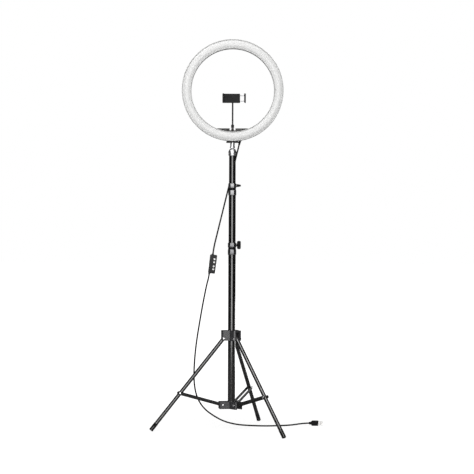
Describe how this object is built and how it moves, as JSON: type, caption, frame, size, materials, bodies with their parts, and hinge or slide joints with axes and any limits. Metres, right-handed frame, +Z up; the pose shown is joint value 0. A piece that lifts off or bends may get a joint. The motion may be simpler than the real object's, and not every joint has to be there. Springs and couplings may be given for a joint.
{
  "type": "ring light",
  "caption": "Ring-shaped studio light with a phone holder, on a telescoping mast with a folding tripod and a corded controller.",
  "frame": {"origin": "On the floor, on the mast's axis", "axes": "+X to the right of someone who faces the lit side, +Y from the lit side towards the back of the ring, +Z up along the mast"},
  "size_m": [0.5676, 0.4605, 1.2683],
  "materials": {
    "mast_black": "gloss black powder coat",
    "leg_black": "gloss black powder coat",
    "strip_black": "satin black paint",
    "collar_grey": "die-cast, tumbled",
    "collar_silver": "bright plated, faceted",
    "knob_black": "moulded, fine grain",
    "hub_black": "moulded, fine grain",
    "rivet_chrome": "domed, bright",
    "screw_steel": "zinc plated",
    "head_silver": "turned and plated",
    "bracket_black": "black paint",
    "arm_steel": "black oxide",
    "arm_black": "satin black",
    "shell_white": "moulded white, semi-gloss",
    "diffuser_white": "translucent milky white",
    "board_white": "white solder mask",
    "chip_yellow": "phosphor",
    "board_green": "green solder mask",
    "cord_black": "soft sheath",
    "clamp_black": "moulded, fine grain",
    "pad_rubber": "soft",
    "box_black": "moulded, fine grain",
    "button_white": "moulded",
    "plug_black": "moulded",
    "usb_metal": "nickel plated",
    "foot_rubber": "ribbed cap"
  },
  "bodies": {
    "column": {"lower_tube": "mast_black", "lower_collar": "collar_grey", "bottom_hub": "hub_black", "hub_rivets": "rivet_chrome", "cord_lower": "cord_black", "usb_body": "plug_black", "usb_shell": "usb_metal"},
    "leg_collar": {"leg_hub": "hub_black", "leg_pins": "rivet_chrome"},
    "leg_collar_knob": {"leg_hub_knob": "knob_black"},
    "leg_left": {"leg_left_tube": "leg_black", "leg_left_foot": "foot_rubber"},
    "brace_left": {"brace_left_strips": "strip_black", "brace_left_rivets": "rivet_chrome"},
    "leg_right": {"leg_right_tube": "leg_black", "leg_right_foot": "foot_rubber"},
    "brace_right": {"brace_right_strips": "strip_black", "brace_right_rivets": "rivet_chrome"},
    "leg_back": {"leg_back_tube": "leg_black", "leg_back_foot": "foot_rubber"},
    "brace_back": {"brace_back_strips": "strip_black", "brace_back_rivets": "rivet_chrome"},
    "lower_wing": {"lower_knob": "knob_black"},
    "middle_mast": {"middle_tube": "mast_black", "upper_collar": "collar_silver", "controller_front": "box_black", "controller_back": "box_black", "controller_board": "board_green"},
    "button_1": {"button_1": "button_white"},
    "button_2": {"button_2": "button_white"},
    "button_3": {"button_3": "button_white"},
    "button_4": {"button_4": "button_white"},
    "upper_wing": {"upper_knob": "knob_black"},
    "upper_mast": {"upper_tube": "mast_black", "top_stud": "screw_steel", "cord_upper": "cord_black"},
    "pan_head": {"head_socket": "head_silver", "cord_neck": "cord_black"},
    "lock_knob": {"socket_knob": "knob_black"},
    "ring_head": {"tilt_ball": "head_silver", "ring_bracket": "bracket_black", "bracket_screws": "screw_steel", "arm_base": "arm_steel", "back_shell": "shell_white", "front_diffuser": "diffuser_white", "led_board": "board_white", "led_chips": "chip_yellow", "shell_screws": "screw_steel", "cord_gland": "cord_black", "cord_head": "cord_black"},
    "holder_arm": {"phone_arm": "arm_black"},
    "holder_yoke": {"clamp_yoke": "clamp_black", "yoke_pin": "screw_steel"},
    "clamp": {"clamp_body": "clamp_black", "clamp_cover": "clamp_black", "clamp_fixed_pad": "pad_rubber"},
    "sliding_jaw": {"clamp_jaw": "clamp_black", "clamp_jaw_pad": "pad_rubber", "clamp_rods": "screw_steel", "clamp_springs": "screw_steel"}
  },
  "joints": [
    {"name": "fold_slide", "type": "slide", "parent": "column", "child": "leg_collar", "axis": [0, 0, 1], "range_m": [0, 0.1548]},
    {"name": "leg_left_fold", "type": "hinge", "parent": "leg_collar", "child": "leg_left", "pos_m": [-0.02665, -0.00432, 0.297], "axis": [0.1599, -0.9871, 0], "range_deg": [0, 38.75]},
    {"name": "brace_left_fold", "type": "hinge", "parent": "column", "child": "brace_left", "pos_m": [-0.02863, -0.00464, 0.082], "axis": [0.1599, -0.9871, 0], "range_deg": [-75.2, 0]},
    {"name": "leg_right_fold", "type": "hinge", "parent": "leg_collar", "child": "leg_right", "pos_m": [0.01707, -0.02092, 0.297], "axis": [0.7749, 0.632, 0], "range_deg": [0, 38.75]},
    {"name": "brace_right_fold", "type": "hinge", "parent": "column", "child": "brace_right", "pos_m": [0.01833, -0.02247, 0.082], "axis": [0.7749, 0.632, 0], "range_deg": [-75.2, 0]},
    {"name": "leg_back_fold", "type": "hinge", "parent": "leg_collar", "child": "leg_back", "pos_m": [0.00959, 0.02524, 0.297], "axis": [-0.9348, 0.3551, 0], "range_deg": [0, 38.75]},
    {"name": "brace_back_fold", "type": "hinge", "parent": "column", "child": "brace_back", "pos_m": [0.0103, 0.02711, 0.082], "axis": [-0.9348, 0.3551, 0], "range_deg": [-75.2, 0]},
    {"name": "leg_collar_knob_turn", "type": "hinge", "parent": "leg_collar", "child": "leg_collar_knob", "pos_m": [-0.01896, 0.02325, 0.307], "axis": [-0.632, 0.7749, 0], "range_deg": [0, 360]},
    {"name": "lower_wing_turn", "type": "hinge", "parent": "column", "child": "lower_wing", "pos_m": [0.02, 0, 0.601], "axis": [1, 0, 0], "range_deg": [0, 360]},
    {"name": "middle_slide", "type": "slide", "parent": "column", "child": "middle_mast", "axis": [0, 0, 1], "range_m": [-0.15, 0.25], "deforming": ["cord_lower"]},
    {"name": "upper_wing_turn", "type": "hinge", "parent": "middle_mast", "child": "upper_wing", "pos_m": [0.018, 0, 0.794], "axis": [1, 0, 0], "range_deg": [0, 360]},
    {"name": "upper_slide", "type": "slide", "parent": "middle_mast", "child": "upper_mast", "axis": [0, 0, 1], "range_m": [-0.085, 0.3], "deforming": ["cord_upper"]},
    {"name": "head_pan", "type": "hinge", "parent": "upper_mast", "child": "pan_head", "pos_m": [0, 0, 0.894], "axis": [0, 0, 1], "range_deg": [-45, 45], "deforming": ["cord_neck"]},
    {"name": "head_tilt", "type": "hinge", "parent": "pan_head", "child": "ring_head", "pos_m": [0, 0, 0.907], "axis": [1, 0, 0], "range_deg": [-25, 25], "deforming": ["cord_head"]},
    {"name": "lock_knob_turn", "type": "hinge", "parent": "pan_head", "child": "lock_knob", "pos_m": [0, 0.02, 0.903], "axis": [0, 1, 0], "range_deg": [0, 360]},
    {"name": "holder_arm_tilt", "type": "hinge", "parent": "ring_head", "child": "holder_arm", "pos_m": [0, 0.0145, 0.987], "axis": [1, 0, 0], "range_deg": [-15, 15]},
    {"name": "holder_tilt", "type": "hinge", "parent": "holder_arm", "child": "holder_yoke", "pos_m": [0, 0.0145, 1.0775], "axis": [1, 0, 0], "range_deg": [-35, 5]},
    {"name": "holder_swivel", "type": "hinge", "parent": "holder_yoke", "child": "clamp", "pos_m": [0, 0.005, 1.0775], "axis": [0, 1, 0], "range_deg": [-90, 90]},
    {"name": "jaw_slide", "type": "slide", "parent": "clamp", "child": "sliding_jaw", "axis": [1, 0, 0], "range_m": [0, 0.016], "stiffness_N_per_m": 150, "springref_m": -0.01, "deforming": ["clamp_springs"]},
    {"name": "button_1_press", "type": "slide", "parent": "middle_mast", "child": "button_1", "axis": [0, 1, 0], "range_m": [0, 0.0008], "stiffness_N_per_m": 200},
    {"name": "button_2_press", "type": "slide", "parent": "middle_mast", "child": "button_2", "axis": [0, 1, 0], "range_m": [0, 0.0008], "stiffness_N_per_m": 200},
    {"name": "button_3_press", "type": "slide", "parent": "middle_mast", "child": "button_3", "axis": [0, 1, 0], "range_m": [0, 0.0008], "stiffness_N_per_m": 200},
    {"name": "button_4_press", "type": "slide", "parent": "middle_mast", "child": "button_4", "axis": [0, 1, 0], "range_m": [0, 0.0008], "stiffness_N_per_m": 200}
  ],
  "couplings": [
    {"joint": "leg_left_fold", "follows": "fold_slide", "rad_per_m": 4.3613},
    {"joint": "brace_left_fold", "follows": "fold_slide", "rad_per_m": -8.4659},
    {"joint": "leg_right_fold", "follows": "fold_slide", "rad_per_m": 4.3613},
    {"joint": "brace_right_fold", "follows": "fold_slide", "rad_per_m": -8.4659},
    {"joint": "leg_back_fold", "follows": "fold_slide", "rad_per_m": 4.3613},
    {"joint": "brace_back_fold", "follows": "fold_slide", "rad_per_m": -8.4659}
  ]
}
